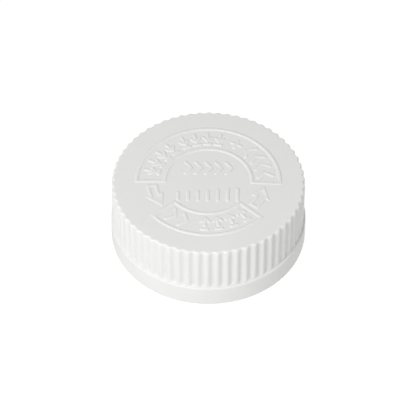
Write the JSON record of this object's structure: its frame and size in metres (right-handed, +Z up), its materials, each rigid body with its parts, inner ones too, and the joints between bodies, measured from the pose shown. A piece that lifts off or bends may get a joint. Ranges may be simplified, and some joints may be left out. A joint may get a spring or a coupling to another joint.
{
  "type": "child-resistant bottle closure",
  "caption": "White press-and-turn screw cap: a ribbed outer cap with a smooth foot band and raised pictograms on top, over a threaded inner cap that it grips only when pressed down.",
  "frame": {"origin": "centre of the circle that the outer cap's rim stands on", "axes": "+Z up along the cap's axis, out of the closed top; +X toward the right of the top marks and +Y toward their top edge"},
  "size_m": [0.06, 0.06, 0.0229],
  "materials": {
    "white_pp": "satin moulded polypropylene",
    "natural_pp": "satin moulded polypropylene",
    "pulpboard": "matt paper board",
    "foil": "bright foil under a clear film"
  },
  "bodies": {
    "outer": {"outer_cap": "white_pp"},
    "spring": {"spring_fingers": "natural_pp"},
    "inner": {"inner_cap": "natural_pp", "liner_board": "pulpboard", "liner_foil": "foil"}
  },
  "joints": [
    {"name": "turn", "type": "hinge", "parent": "outer", "child": "spring", "pos_m": [0, 0, 0.0195], "axis": [0, 0, -1], "continuous": true},
    {"name": "press", "type": "slide", "parent": "spring", "child": "inner", "axis": [0, 0, 1], "range_m": [0, 0.0016], "stiffness_N_per_m": 12000, "springref_m": -0.0004, "deforming": ["spring_fingers"]}
  ]
}
